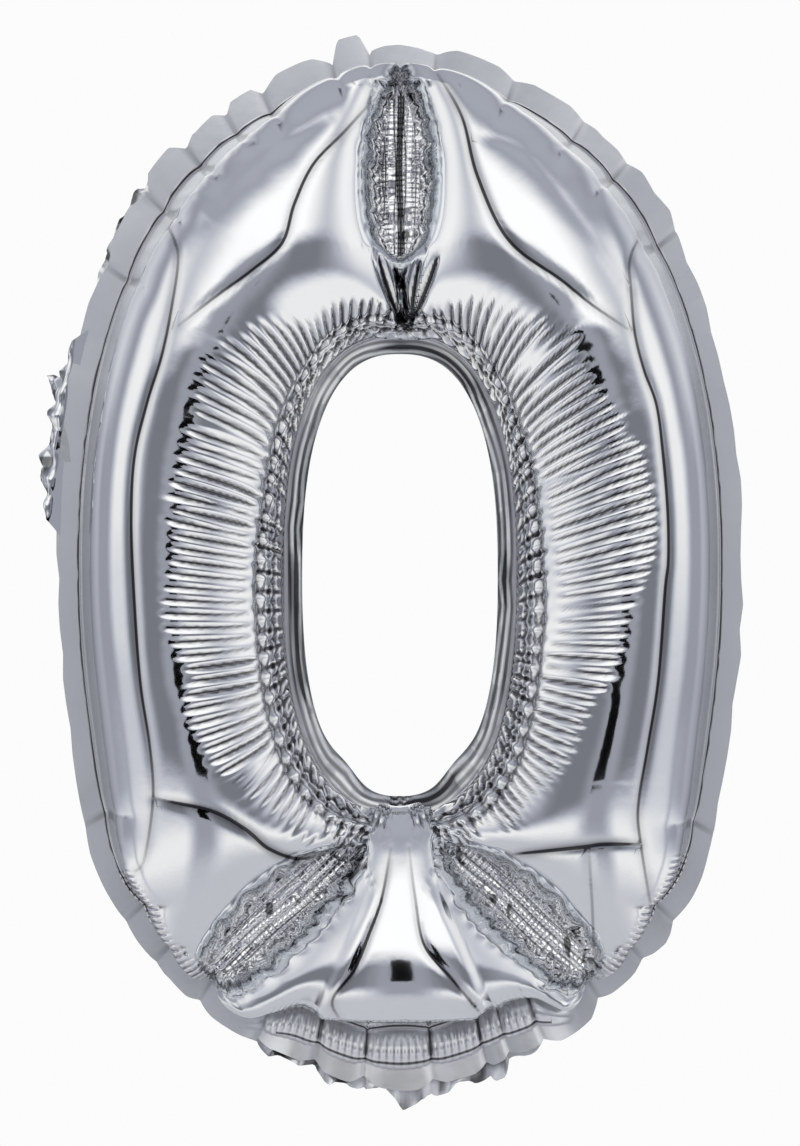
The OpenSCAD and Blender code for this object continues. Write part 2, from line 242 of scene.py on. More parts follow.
class Film:
    """One panel: columns run round the digit, and rows run from its hole to its outside.
    Arrays are (3, columns, rows), in millimetres about the digit's centre."""

    def __init__(self, columns, rows, inner_rows, outer_rows):
        self.columns = columns
        self.first, self.last = inner_rows, inner_rows + rows
        share = np.linspace(0, 1, rows + 1)
        self.t = np.concatenate([-np.arange(inner_rows, 0, -1) / inner_rows,
                                 share - 0.2 * share * (1 - share),
                                 1 + np.arange(1, outer_rows + 1) / outer_rows])
        self.inner, self.outer = np.clip(-self.t, 0, 1), np.clip(self.t - 1, 0, 1)
        self.lay_out()
        self.set_lengths()

    def lay_out(self):
        """The puffed shape that the film starts from, with the seams, flanges and welds pinned."""
        angle_in, angle_out = stations(True, self.columns), stations(False, self.columns)
        self.turn = np.degrees(angle_out)
        self.lobe, self.across = self.lobes()
        seam_in, rim = seam_point(True, angle_in), seam_point(False, angle_out)
        deep = self.lobe_depth()
        seam_out = rim * (1 - deep / length(rim))
        self.lobed = np.clip(deep / LOBE_DEEP, 0, 1)[:, None]
        self.width = length(seam_out - seam_in)
        across = (1 - np.cos(np.pi * np.clip(self.t, 0, 1))) / 2
        flat = seam_in[:, :, None] * (1 - across) + seam_out[:, :, None] * across
        inward = superellipse(INNER[0] - INNER_FLANGE, INNER[1] - INNER_FLANGE, INNER[2], angle_in)
        low = 180 - np.abs(np.degrees(angle_in) % 360 - 180)
        inward = (inward - superellipse(*INNER, angle_in)) * (1 + 0.4 * bell(low - 150, 14))
        plain = outer_line(0, angle_out)
        outward = (outer_line(OUTER_FLANGE, angle_out) - plain) * self.petals() + 0.6 * (plain - rim)
        beyond = np.clip((self.outer - LOBE_SHARE) / (1 - LOBE_SHARE), 0, 1)
        flat = flat + inward[:, :, None] * self.inner \
            + (rim - seam_out)[:, :, None] * np.minimum(self.outer / LOBE_SHARE, 1) \
            + outward[:, :, None] * (self.outer * (1 - self.lobed) + beyond * self.lobed)
        self.measure_welds(flat)
        t = np.clip(self.t, 0, 1)
        wall = np.sqrt(REACH * np.clip(self.beside_weld, 0, REACH) + 0.5)
        dome = 2 * DEPTH * np.sqrt(t * (1 - t)) * np.ones_like(wall)
        height = wall * dome / (wall ** 4 + dome ** 4 + 1e-9) ** 0.25
        self.pinned = self.in_weld | (self.t <= 0) | (self.t >= 1)
        height[self.pinned] = 0
        self.x = np.stack([flat[0], -height, flat[1]]).astype(np.float32)
        self.base = self.x.copy()
        # line is painted shade, which darkens the foil's colour in folds, grooves and beside seams
        self.line = np.zeros_like(wall)
        self.arc_in = t * self.width[:, None] * FILM_SHARE
        self.arc_out = (1 - t) * self.width[:, None] * FILM_SHARE

    def around(self, steps, spread, seed):
        """An uneven value for each column."""
        return uneven(self.columns, steps, spread, seed)[:, None]

    def push_out(self, height):
        """Move the film along its normals."""
        self.x += (height * self.normals()).astype(np.float32)

    def lobes(self):
        """For each column, which lobe between two notches it is in, and its share of the way across."""
        ends = np.append(notches(0), NOTCHES[0][0] + 360)
        at = (self.turn - ends[0]) % 360 + ends[0]
        lobe = np.clip(np.searchsorted(ends, at, side="right") - 1, 0, len(NOTCHES) - 1)
        return lobe, (at - ends[lobe]) / (ends[lobe + 1] - ends[lobe])

    def lobe_depth(self):
        """From the fold above the lower edge's lobes to the seam; the fold arches over each lobe."""
        low = band(150, 157, 196, 208, self.turn)
        arch = 0.56 + 0.30 * np.sin(np.pi * self.across) ** 0.5
        return LOBE_DEEP * low * (arch + 0.2 * bell(self.turn - 179, 8))

    def petals(self):
        """The outer flange's width, as a share of the plain one: it bulges between the notches."""
        petal = notches(3)[self.lobe]
        rise = np.clip(np.minimum(self.across, 1 - self.across) / 0.24, 0, 1)
        by_tail = 0.2 * bell(self.turn - 293, 20)
        return 0.86 + by_tail + petal * (rise - 0.2) + uneven(self.columns, 110, 0.10, 17)

    def measure_welds(self, flat):
        """How far each point is from the nearest weld's edge, and whether it is in the weld."""
        self.beside_weld = np.full(flat.shape[1:], 1e3)
        self.weld_run = np.zeros(flat.shape[1:])
        self.in_weld = np.zeros(flat.shape[1:], bool)
        self.weld_lines = []
        share = np.arange(self.columns) / self.columns
        for end, (start, stop, half) in zip(np.cumsum((0,) + SHARES), WELDS):
            line = flat[:, int(round(end * self.columns))]
            root, tip = line[:, self.first], line[:, self.last]
            whole = length(tip - root)
            along = (tip - root) / whole
            side = np.array([along[1], -along[0]])
            off = np.tensordot(side, flat - root[:, None, None], 1)
            run = np.tensordot(along, flat - root[:, None, None], 1) / whole
            inside = np.clip((run - start) / (stop - start), 0, 1)
            reach = half * np.sin(np.pi * inside) ** WELD_BLUNT
            near = (np.abs((share - end + 0.5) % 1 - 0.5) < 0.12)[:, None]
            self.in_weld |= near & (np.abs(off) < reach)
            gap = np.abs(off) - reach
            closer = near & (gap < self.beside_weld)
            self.beside_weld = np.where(closer, gap, self.beside_weld)
            self.weld_run = np.where(closer, run * whole, self.weld_run)
            self.weld_lines.append((root, along, side, whole))

    def excess(self):
        """How much longer the film is than its puffed shape, round the digit and outwards."""
        turn, film = self.turn[:, None], (self.t >= 0) & (self.t <= 1)
        reach = np.interp(turn, *zip(*WRINKLE_REACH))
        ragged = self.around(self.columns // WAVE_COLUMNS // 3, 7, 7)
        plateau = 1 - 0.7 * bell(self.arc_in - 0.42 * reach, 4)
        strength = 0.11 * (1 + self.around(46, 0.75, 9))
        round_in = strength * (1 - smooth(reach - 8, reach + 5, self.arc_in + ragged)) * plateau
        corner = 0.0
        for where, wide, much in CORNERS:
            corner = corner + much * bell(turn - where, wide)
        round_out = 0.07 * corner * (1 - smooth(6, 26, self.arc_out))
        by_weld = 0.08 * (1 - smooth(0, 12, np.clip(self.beside_weld, 0, 99)))
        return film * (round_in + round_out), film * by_weld

    def set_lengths(self):
        """The rest lengths of the grid's edges and diagonals, and how freely each point may buckle."""
        base = self.base.astype(float)
        turned = np.roll(base, -1, 1)
        along_s, along_t = length(turned - base), length(base[:, :, 1:] - base[:, :, :-1])
        more_s, more_t = self.excess()
        mid_s, mid_t = (more_s[:, 1:] + more_s[:, :-1]) / 2, (more_t[:, 1:] + more_t[:, :-1]) / 2
        square_s = ((along_s[:, 1:] + along_s[:, :-1]) / 2) ** 2 * ((1 + mid_s) ** 2 - 1)
        square_t = ((along_t + np.roll(along_t, -1, 0)) / 2) ** 2 * ((1 + mid_t) ** 2 - 1)
        up = np.sqrt(length(turned[:, :, 1:] - base[:, :, :-1]) ** 2 + square_s + square_t)
        down = np.sqrt(length(turned[:, :, :-1] - base[:, :, 1:]) ** 2 + square_s + square_t)
        self.rest_s = (along_s * (1 + more_s)).astype(np.float32)
        self.rest_t = (along_t * (1 + mid_t)).astype(np.float32)
        self.rest_up, self.rest_down = up.astype(np.float32), down.astype(np.float32)
        self.slack = np.clip((more_s + more_t) / 0.03, 0.04, 1).astype(np.float32)

    def flat_area(self):
        """The area of the film's flat cut, from its rest lengths, with the flanges."""
        return float((self.rest_s[:, 1:] * self.rest_t).sum())

    def normals(self):
        """Unit normals that point to the front."""
        x = self.x
        ds = np.roll(x, -1, 1) - np.roll(x, 1, 1)
        dt = np.empty_like(x)
        dt[:, :, 1:-1] = x[:, :, 2:] - x[:, :, :-2]
        dt[:, :, 0] = x[:, :, 1] - x[:, :, 0]
        dt[:, :, -1] = x[:, :, -1] - x[:, :, -2]
        n = np.stack([ds[1] * dt[2] - ds[2] * dt[1], ds[2] * dt[0] - ds[0] * dt[2],
                      ds[0] * dt[1] - ds[1] * dt[0]])
        n /= length(n) + 1e-12
        return n if n[1].mean() < 0 else -n

    @staticmethod
    def pull(a, b, rest, push):
        """Move both ends of each edge so that it isn't longer than rest, nor shorter, by push's share."""
        d = b - a
        e = 1 - rest / (np.sqrt(d[0] * d[0] + d[1] * d[1] + d[2] * d[2]) + 1e-9)
        d *= np.where(e > 0, 0.5 * e, 0.5 * push * e)
        a += d
        b -= d

    def sweep(self, push):
        """Pull on every edge and diagonal once, in turns that share no point."""
        x = self.x
        pairs = ((slice(0, None, 2), slice(1, None, 2)), (slice(1, -1, 2), slice(2, None, 2)),
                 (slice(-1, None), slice(0, 1)))
        for i, k in pairs:
            self.pull(x[:, i], x[:, k], self.rest_s[i], push[i])
            self.pull(x[:, i, :-1], x[:, k, 1:], self.rest_up[i], push[i, 1:])
            self.pull(x[:, i, 1:], x[:, k, :-1], self.rest_down[i], push[i, 1:])
        for start in (0, 1):
            stop = start + (x.shape[2] - start) // 2 * 2
            self.pull(x[:, :, start:stop:2], x[:, :, start + 1:stop:2], self.rest_t[:, start:stop:2],
                      push[:, start:stop:2])

    def bend(self, much):
        """The film's stiffness, which takes out what is shorter than a wrinkle."""
        d = 0.5 * (np.roll(self.x, 1, 1) + np.roll(self.x, -1, 1)) - self.x
        d -= 0.5 * (np.roll(d, 1, 1) + np.roll(d, -1, 1))
        self.x += much * d

    def relax(self, steps, pressure, push=0.0, stiff=0.0):
        """Inflate the film. With push it also resists being shortened, so it buckles."""
        sweeps, damp, nearest = 3, 0.9, -0.02
        hold = self.x[:, self.pinned].copy()
        before = self.x.copy()
        push = self.slack * push
        for _ in range(steps):
            drift = (self.x - before) * damp
            before = self.x.copy()
            self.x += drift + pressure * self.normals()
            self.x[:, self.pinned] = hold
            for _ in range(sweeps):
                self.sweep(push)
                self.x[:, self.pinned] = hold
            if stiff:
                self.bend(stiff)
            np.minimum(self.x[1], nearest, out=self.x[1])
            self.x[:, self.pinned] = hold
        return self

    def refined(self, columns, rows, inner_rows, outer_rows):
        """A finer film, with this one's shape."""
        fine = Film(columns, rows, inner_rows, outer_rows)
        moved = (self.x - self.base).astype(float)
        at = np.arange(columns) * self.columns / columns
        i = np.floor(at).astype(int)
        f = (at - i)[None, :, None]
        moved = through(*(moved[:, (i + k) % self.columns] for k in (-1, 0, 1, 2)), f)
        at = np.interp(fine.t, self.t, np.arange(len(self.t)))
        j = np.clip(np.floor(at).astype(int), 0, len(self.t) - 2)
        moved = moved[:, :, j] * (1 - (at - j)) + moved[:, :, j + 1] * (at - j)
        moved[:, fine.pinned] = 0
        fine.x = (fine.base + moved).astype(np.float32)
        return fine

    def seed_wrinkles(self, height):
        """Start the hole's wrinkles, one each few columns, and a little noise everywhere."""
        waves = self.columns // WAVE_COLUMNS
        share = np.arange(self.columns) / self.columns
        size = 1 + uneven(self.columns, waves, 0.5, 11)
        wave = size * np.sin(2 * np.pi * waves * share + uneven(self.columns, waves // 3, 1.3, 12))
        reach = np.interp(self.turn, *zip(*WRINKLE_REACH))[:, None]
        fade = (1 - smooth(reach - 6, reach + 4, self.arc_in)) * (self.arc_in > 0)
        self.push_out(height * fade * wave[:, None])
        noise = np.random.default_rng(13).standard_normal(self.x.shape) * 0.02
        self.x[:, ~self.pinned] += noise[:, ~self.pinned].astype(np.float32)
        return self

    def calm_edge(self):
        """Beside the outer seam the film is too stiff for the hole's wrinkles."""
        moved = self.x - self.base
        calm = sum(np.roll(moved, k, 1) for k in range(-9, 10)) / 19
        share = (1 - smooth(14, 30, self.arc_out)) * ~self.pinned
        self.x += (share * (calm - moved)).astype(np.float32)
        return self

    def shift_crown(self):
        """Lean the tube's crown outwards, as the stiff wrinkled side pushes it."""
        centre = self.x[::2] - np.array([0, DROP], np.float32)[:, None, None]
        from_bottom = self.turn[:, None] - 180
        shift = CROWN_SHIFT + 8 * bell(from_bottom, 24)
        shift = shift - 4 * bell(np.abs(from_bottom) - 180, 40)
        share = (self.x[1] / DEPTH) ** 2
        self.x[::2] += (shift * share * centre / length(centre)).astype(np.float32)
        return self

    def flatten_pillow(self):
        """The lower chamber is nearly flat between its two creases."""
        bow = 260
        x, y, z = self.x
        middle = (np.abs(x) < 1.2) & (z < -86) & ~self.pinned
        order = np.argsort(z[middle])
        crown = np.interp(z, z[middle][order], y[middle][order]) + (x - 1) ** 2 / bow
        half = 5 + 0.45 * np.clip(-z - 100, 0, 60)
        inside = 1 - smooth(half, half + 5, np.abs(x - 1.5))
        inside = inside * smooth(-156, -150, z) * (1 - smooth(-112, -96, z))
        self.x[1] += (0.9 * inside * (crown - y)).astype(np.float32) * (self.t < 1)
        return self

    def crease(self):
        """Press sharp valleys into the film along the creases, and note where their lines of painted shade
        run.
        """
        dip, self.dark = np.zeros(self.x.shape[1:]), self.line * 0
        self.fold = np.full(self.x.shape[1:], NO_FOLD)
        count, margin = 160, 20
        for points, deep, wide, dark, slope, reach in CREASES:
            path = smooth_path(points, count)
            low, high = path.min(1) - margin, path.max(1) + margin
            near = (self.x[0] > low[0]) & (self.x[0] < high[0]) & ~self.pinned
            near &= (self.x[2] > low[1]) & (self.x[2] < high[1])
            away = self.x[::2, near][:, :, None] - path[:, None, :]
            gaps = length(away)
            k = gaps.argmin(1)
            beside, tangent = away[:, np.arange(len(k)), k], np.gradient(path, axis=1)[:, k]
            signed = (tangent[0] * beside[1] - tangent[1] * beside[0]) / length(tangent)
            beside_path = (k > 0) & (k < count - 1)
            gap = np.where(beside_path, np.abs(signed), gaps.min(1))
            end = np.sin(np.pi * np.clip(k / (count - 1), 0.02, 0.98)) ** 0.5
            soft = np.sqrt(gap ** 2 + 0.6) - 0.77
            dip[near] += end * (deep * bell(gap, wide) + slope * np.exp(-soft / reach))
            closer = gap < np.abs(self.fold[near])
            self.fold[near] = np.where(closer, signed, self.fold[near])
            # painted shade along the crease
            shade = dark * end * (1 - smooth(1.8, 3.4, gap)) * beside_path
            self.dark[near] = np.where(closer, shade, self.dark[near])
            self.line[near] += 0.75 * dark ** 4 * end * bell(gap, 1.7)
        self.push_out(-dip)
        return self

    def pucker(self):
        """Beads and zigzag folds beside the hole's seam, with painted shade in the grooves round the hole.
        """
        share = np.arange(self.columns) / self.columns
        waves = self.columns // WAVE_COLUMNS
        phase = np.pi * waves * share + uneven(self.columns, 40, 0.8, 12)
        bead = np.sin(phase)[:, None]
        swell = 0.34 * bead * smooth(2.5, 5, self.arc_in) * (1 - smooth(17, 24, self.arc_in))
        for far, deep, swing, seed in GROOVES:
            ring = far + swing * bead + self.around(60, 0.5, seed)
            groove = bell(self.arc_in - ring, 1.2) * (self.arc_in > 0)
            swell -= deep * groove
            # painted shade in the groove
            self.line += 0.95 * deep * groove
        swell += 0.55 * (0.4 + 0.6 * bead) * bell(self.arc_in - 15.3, 1.6)
        clear = 1 - np.exp(-((self.turn[:, None] - 180) / 14) ** 4)
        self.line *= clear
        self.push_out(clear * swell * ~self.pinned)
        return self

    def finish(self, tail_low, tail_high):
        """The curl of the flanges, the lobes, the painted shade along folds and seams, and the gap between
        the plies.
        """
        puff = np.sin(np.pi * np.clip(self.outer / LOBE_SHARE, 0, 1) ** 1.6) ** 0.7 * (self.outer > 0)
        arch = 0.25 + 0.75 * np.sin(np.pi * self.across) ** 0.45
        self.x[1] -= (2.6 * self.lobed * puff * arch[:, None]).astype(np.float32)
        steps = length(np.diff(self.x, axis=2))[:, :self.last]
        from_seam = np.zeros_like(self.line)
        from_seam[:, :self.last] = np.cumsum(steps[:, ::-1], axis=1)[:, ::-1]
        self.shade_folds(from_seam)
        self.draw_outer_line(from_seam)
        self.draw_inner_lines()
        self.crimp_seams(from_seam)
        self.flange_wave = self.wave_flange()
        x, z = self.x[0], self.x[2]
        valve = smooth(tail_low - 20, tail_low - 1, z) * (1 - smooth(tail_high + 1, tail_high + 20, z)) \
            * (1 - smooth(-98, -84, x))
        self.x[1] -= np.where(self.pinned, PLY_GAP + (VALVE_GAP - PLY_GAP) * valve, PLY_GAP)
        return self

    def shade_folds(self, from_seam):
        """Painted shade where folds are so tight that they would look dark: the wrinkles' hollows, beside
        the outer seam, and round each lobe and notch.
        """
        inside = self.outer == 0
        hollow = 0.5 * (np.roll(self.x, 1, 1) + np.roll(self.x, -1, 1)) - self.x
        hollow = (hollow * self.normals()).sum(0) * ~self.pinned * (self.arc_out > 20)
        # painted shade in the wrinkles' hollows, beside the outer seam, between the lobes and in the notches
        self.line += np.clip(9.0 * (hollow - 0.025), 0, 0.9)
        self.line += 0.35 * bell(from_seam, 16) * inside * (1 - self.lobed)
        to_notch = np.minimum(self.across, 1 - self.across)
        between = self.lobed * (1 - smooth(0.02, 0.07, to_notch))[:, None]
        self.line += 0.85 * between * (self.outer > 0) * (self.outer <= LOBE_SHARE)
        self.line += 0.6 * self.lobed * bell(from_seam, 2.5) * inside
        away = np.abs((self.turn - notches(0)[:, None] + 180) % 360 - 180).min(0)
        away = np.radians(away) * length(self.base[::2, :, -1])
        notch = (1 - smooth(0.3, 1.3, away))[:, None] * smooth(0, 0.1, self.outer)
        self.line += 0.5 * notch * (1 - 0.7 * self.outer)

    def draw_line(self, near, distance, strength):
        """A fold's line of painted shade, as far as near goes: the distance from it, and how dark it is."""
        self.fold = np.where(near, distance, self.fold)
        self.dark = np.where(near, strength * (1 - smooth(*LINE_SOFT, np.abs(self.fold))), self.dark)

    def draw_outer_line(self, from_seam):
        """The painted shade along the outer seam, and along the fold above the lobes."""
        jagged = self.around(300, 0.25, 38)
        lobed = self.lobed * np.ones_like(self.line) >= 0.5
        self.draw_line((self.t > 0.9) & ~lobed, OUTER_FLANGE * self.outer + jagged - from_seam, 0.8)
        to_fold = self.outer * LOBE_DEEP / LOBE_SHARE - from_seam
        to_seam = (self.outer - LOBE_SHARE) * OUTER_FLANGE / (1 - LOBE_SHARE)
        nearer = np.where(self.outer > LOBE_SHARE / 2, to_seam, to_fold)
        self.draw_line((self.t > 0.9) & lobed, nearer, 0.9)

    def draw_inner_lines(self):
        """The painted shade along the hole's seam, and along the pleats in its flange."""
        into = INNER_FLANGE * self.inner
        wander = self.around(50, 0.4, 35)
        pleats = 0.75 * np.sin(np.pi * (into + wander * into / 3) / 2.1)
        lines = np.where(into > 0, pleats, -self.arc_in)
        self.draw_line(self.t < 0.06, lines, 0.8 + self.around(24, 0.2, 36))
        shadow = smooth(0.0, 0.5, self.around(14, 1.0, 37))
        self.line += 0.95 * shadow * bell(into - 4.0, 1.2) * (into > 0)

    def crimp_seams(self, from_seam):
        """Where the film is finely ticked, with painted shade in the ticks' valleys: beside the crimped
        seams and beside the welds.
        """
        run = np.cumsum(length((self.base - np.roll(self.base, 1, 1))[:, :, self.last]))
        crimp = sum(band(first - 1, first + 2, last - 2, last + 1, self.turn) for first, last in CRIMPS)
        ticks = 1.8 * smooth(-4, -2, from_seam - OUTER_FLANGE * self.outer) * (1 - smooth(17, 27, from_seam))
        ticks *= 1 - self.lobed
        ticks = np.where(self.outer > 0, self.lobed * band(0.1, 0.3, 0.55, 0.62, self.outer), ticks)
        self.tick_size, self.tick = crimp[:, None] * ticks, (run / 2.3)[:, None] * np.ones_like(self.line)
        beside = bell(self.beside_weld, 3.5) * (self.tick_size < 0.02) * (self.outer == 0)
        self.tick = np.where(beside > 0.01, self.weld_run / 2.4, self.tick)
        self.tick_size += 0.45 * beside

    def wave_flange(self):
        """How far the flanges lean to the back: the outer one lobe by lobe, the inner one in a curl."""
        deep, share = np.append(notches(1), NOTCHES[0][1]), self.across
        lift = 0.10 * np.minimum(deep[self.lobe] * (1 - share) + deep[self.lobe + 1] * share, 2)
        saw = lift * (2 * share - 1) * band(0, 0.10, 0.90, 1, share)
        wave = (saw[:, None] + self.around(60, 0.12, 27)) * self.outer
        curl = 3.6 + self.around(34, 1.0, 28)
        ruffle = self.around(110, 0.4, 29)
        pleat = 0.22 * np.sin(np.pi * INNER_FLANGE * self.inner / 1.05)
        lean = 3.0 * self.lobed * self.outer
        return wave - lean + curl * self.inner ** 1.7 + ruffle * self.inner + pleat

    def ply(self, side):
        """The front ply at side -1, or the back ply at side 1."""
        points = self.x.astype(float)
        points[1] *= -side
        points[1] += self.flange_wave
        return points


# ---- meshes

def add_piece(name, points, quads):
    """A smooth-shaded mesh from points in millimetres about the digit's centre, shaped (3, ...)."""
    points = points.reshape(3, -1) * MM + np.array([[0], [0], [DIGIT_Z]])
    mesh = bpy.data.meshes.new(name)
    mesh.vertices.add(points.shape[1])
    mesh.vertices.foreach_set("co", points.T.astype(np.float32).ravel())
    mesh.loops.add(quads.size)
    mesh.loops.foreach_set("vertex_index", quads.astype(np.int32).ravel())
    mesh.polygons.add(len(quads))
    mesh.polygons.foreach_set("loop_start", (np.arange(len(quads)) * 4).astype(np.int32))
    mesh.update(calc_edges=True)
    mesh.validate()
    mesh.shade_smooth()
    piece = bpy.data.objects.new(name, mesh)
    bpy.context.scene.collection.objects.link(piece)
    return piece


def grid_quads(columns, rows, closed=False, flip=False, first=0):
    """The faces of a grid whose points are numbered column by column."""
    index = first + np.arange(columns * rows).reshape(columns, rows)
    after = np.roll(index, -1, 0) if closed else index[1:]
    before = index if closed else index[:-1]
    quads = np.stack([before[:, :-1], before[:, 1:], after[:, 1:], after[:, :-1]], -1).reshape(-1, 4)
    return quads[:, ::-1] if flip else quads


def slab(name, front, back, closed=False):
    """A closed solid between two grids of points of the same shape, (3, columns, rows)."""
    columns, rows = front.shape[1:]
    size = columns * rows
    faces = [grid_quads(columns, rows, closed), grid_quads(columns, rows, closed, True, size)]
    index = np.arange(size).reshape(columns, rows)
    rims = [index[:, 0][::-1], index[:, -1]]
    if not closed:
        rims = [np.concatenate([rims[0], index[0, 1:], index[1:, -1], index[-1, -2::-1]])]
    for rim in rims:
        after = np.roll(rim, -1)
        edge = np.stack([rim, after, after + size, rim + size], -1)
        faces.append(edge if closed else edge[:-1])
    points = np.concatenate([front.reshape(3, -1), back.reshape(3, -1)], 1)
    return add_piece(name, points, np.concatenate(faces))


def paint_points(piece, name, values):
    """A value for each point, which a material can read."""
    layer = piece.data.attributes.new(name, "FLOAT", "POINT")
    values = np.broadcast_to(np.ravel(values), len(piece.data.vertices))
    layer.data.foreach_set("value", values.astype(np.float32))


def dress(piece, material, body=None):
    """Give a piece its material and slot, and the body that it rides on, unless it blends two."""
    piece.data.materials.append(material)
    if body:
        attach(piece, body)


# ---- materials

class Shading:
    """The nodes of a material or of the world, with short names for the common ones."""

    def __init__(self, tree):
        self.tree = tree
        self.place = self.node("TexCoord", {}).outputs

    def node(self, kind, sockets, **settings):
        """A node with these settings. Its sockets are linked, or given plain values."""
        node = self.tree.nodes.new("ShaderNode" + kind)
        for name, value in settings.items():
            setattr(node, name, value)
        self.fill(node, sockets)
        return node

    def fill(self, node, sockets):
        for name, value in sockets.items():
            if isinstance(value, bpy.types.NodeSocket):
                self.tree.links.new(value, node.inputs[name])
            else:
                node.inputs[name].default_value = value

    def surface(self, sockets):
        """Fill in the material's main shader."""
        self.fill(self.tree.nodes["Principled BSDF"], sockets)

    def do(self, operation, *values):
        return self.node("Math", dict(enumerate(values)), operation=operation).outputs[0]

    def both(self, a, b):
        return self.do("MULTIPLY", a, b)

    def rest(self, share):
        return self.do("SUBTRACT", 1.0, share)

    def mix(self, share, a, b):
        """a where share is 0, b where it is 1."""
        return self.do("ADD", self.both(self.rest(share), a), self.both(share, b))

    def step(self, value, low, high, start=0.0, stop=1.0):
        """A smooth step from start, where the value is low, to stop, where it is high."""
        sockets = {"Value": value, "From Min": low, "From Max": high, "To Min": start, "To Max": stop}
        return self.node("MapRange", sockets, interpolation_type="SMOOTHSTEP").outputs["Result"]

    def ranged(self, value, low, high):
        """A value from 0 to 1, spread from low to high."""
        return self.node("MapRange", {"Value": value, "To Min": low, "To Max": high}).outputs["Result"]

    def noise(self, scale, detail):
        sockets = {"Vector": self.place["Object"], "Scale": scale, "Detail": detail}
        return self.node("TexNoise", sockets).outputs["Fac"]

    def painted(self, name):
        """What paint_points left on the mesh."""
        return self.node("Attribute", {}, attribute_name=name).outputs["Fac"]

    def tint(self, share, a, b):
        """Colour a where share is 0, and b where it is 1."""
        sockets = {"Factor": share, "A": a, "B": b}
        return self.node("Mix", sockets, data_type="RGBA").outputs["Result"]

    def shaded(self, colour, share, dark):
        """The colour with painted shade, going to dark where share is 1."""
        return self.tint(self.do("MINIMUM", share, 1.0), colour, (dark, dark, dark * 1.1, 1))

    def bumped(self, height, strength, distance, **below):
        sockets = {"Height": height, "Strength": strength, "Distance": distance, **below}
        return self.node("Bump", sockets).outputs["Normal"]


def new_material(name):
    material = bpy.data.materials.new(name)
    material.use_nodes = True
    return material, Shading(material.node_tree)


def foil_material():
    """Metallised film: a mirror with a little haze, painted shade along folds and in the ticks' valleys,
    fine ticks, and duller sealed flanges.
    """
    material, s = new_material("foil")
    seal, ticked = s.painted("seal"), s.painted("tick_size")
    close = s.rest(s.step(s.do("ABSOLUTE", s.painted("fold")), 0.2, 0.75))
    wave = s.do("SINE", s.both(s.painted("tick"), 2 * math.pi))
    # painted shade: the lines of folds, seams and grooves, and the valleys of the ticks
    folds = s.do("ADD", s.painted("line"), s.both(s.painted("dark"), close))
    folds = s.do("ADD", folds, s.both(s.both(s.step(wave, 0.0, -0.9), ticked), 0.45))
    silver = s.tint(s.noise(25, 4), (0.80, 0.82, 0.85, 1), (0.90, 0.91, 0.92, 1))
    ripple = s.bumped(s.noise(90, 2), 0.10, 0.0006)
    grain = s.bumped(s.noise(420, 3), 0.10, 0.0001, Normal=ripple)
    s.surface({"Base Color": s.shaded(silver, folds, 0.05), "Metallic": s.mix(seal, 1.0, 0.7),
               "Roughness": s.do("ADD", s.ranged(s.noise(60, 6), 0.03, 0.11), s.both(seal, 0.14)),
               "Normal": s.bumped(s.both(wave, ticked), 1.0, 0.00025, Normal=grain)})
    return material


def weld_material():
    """Film crushed by the heat bar: the same metal with sharper small dents, darkened by painted shade in
    its folds.
    """
    material, s = new_material("weld")
    silver = s.tint(s.noise(300, 3), (0.86, 0.87, 0.89, 1), (0.98, 0.98, 0.98, 1))
    dents = s.node("TexVoronoi", {"Scale": 900, "Vector": s.place["Object"]})
    s.surface({"Base Color": s.shaded(silver, s.painted("line"), 0.01), "Metallic": 1.0,
               "Roughness": s.ranged(s.noise(150, 4), 0.04, 0.16),
               "Normal": s.bumped(dents.outputs["Distance"], 0.15, 0.0003)})
    return material


def clear_film(name, roughness, milky):
    """Clear plastic film, slightly milky, with fine flow lines."""
    material, s = new_material(name)
    lines = s.node("TexWave", {"Scale": 260, "Distortion": 4, "Vector": s.place["Object"]})
    s.surface({"Base Color": s.tint(s.noise(80, 4), (milky, milky, milky, 1), (0.97, 0.98, 0.98, 1)),
               "Transmission Weight": 0.9, "IOR": 1.5,
               "Roughness": s.ranged(s.noise(200, 3), roughness, roughness + 0.12),
               "Normal": s.bumped(lines.outputs["Fac"], 0.15, 0.0001)})
    return material


# ---- the digit

def make_panels(film, foil):
    """The two panels, whole, from the edge of one flange to the edge of the other."""
    sealed = np.broadcast_to((film.t <= 0) | (film.t >= 1), film.in_weld.shape)
    for name, node, side in (("front_foil", "front_panel", -1), ("back_foil", "back_panel", 1)):
        points = film.ply(side)
        if side > 0:
            points = points + crumpled_edge(film)
        piece = add_piece(name, points, grid_quads(*film.in_weld.shape, True, side < 0))
        paint_points(piece, "seal", sealed)
        # painted shade of folds, seams and grooves, and on the back ply's crumpled flange
        paint_points(piece, "line", film.line + (crumpled_shade(film) if side > 0 else 0))
        for layer in ("fold", "dark", "tick", "tick_size"):
            paint_points(piece, layer, getattr(film, layer))
        film.flat_area()
        dress(piece, foil, "balloon")
        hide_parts(node)


def rim_run(film):
    """About how far along the outer seam each column is."""
    return np.cumsum(np.full(film.columns, COLUMN_PITCH))[:, None]


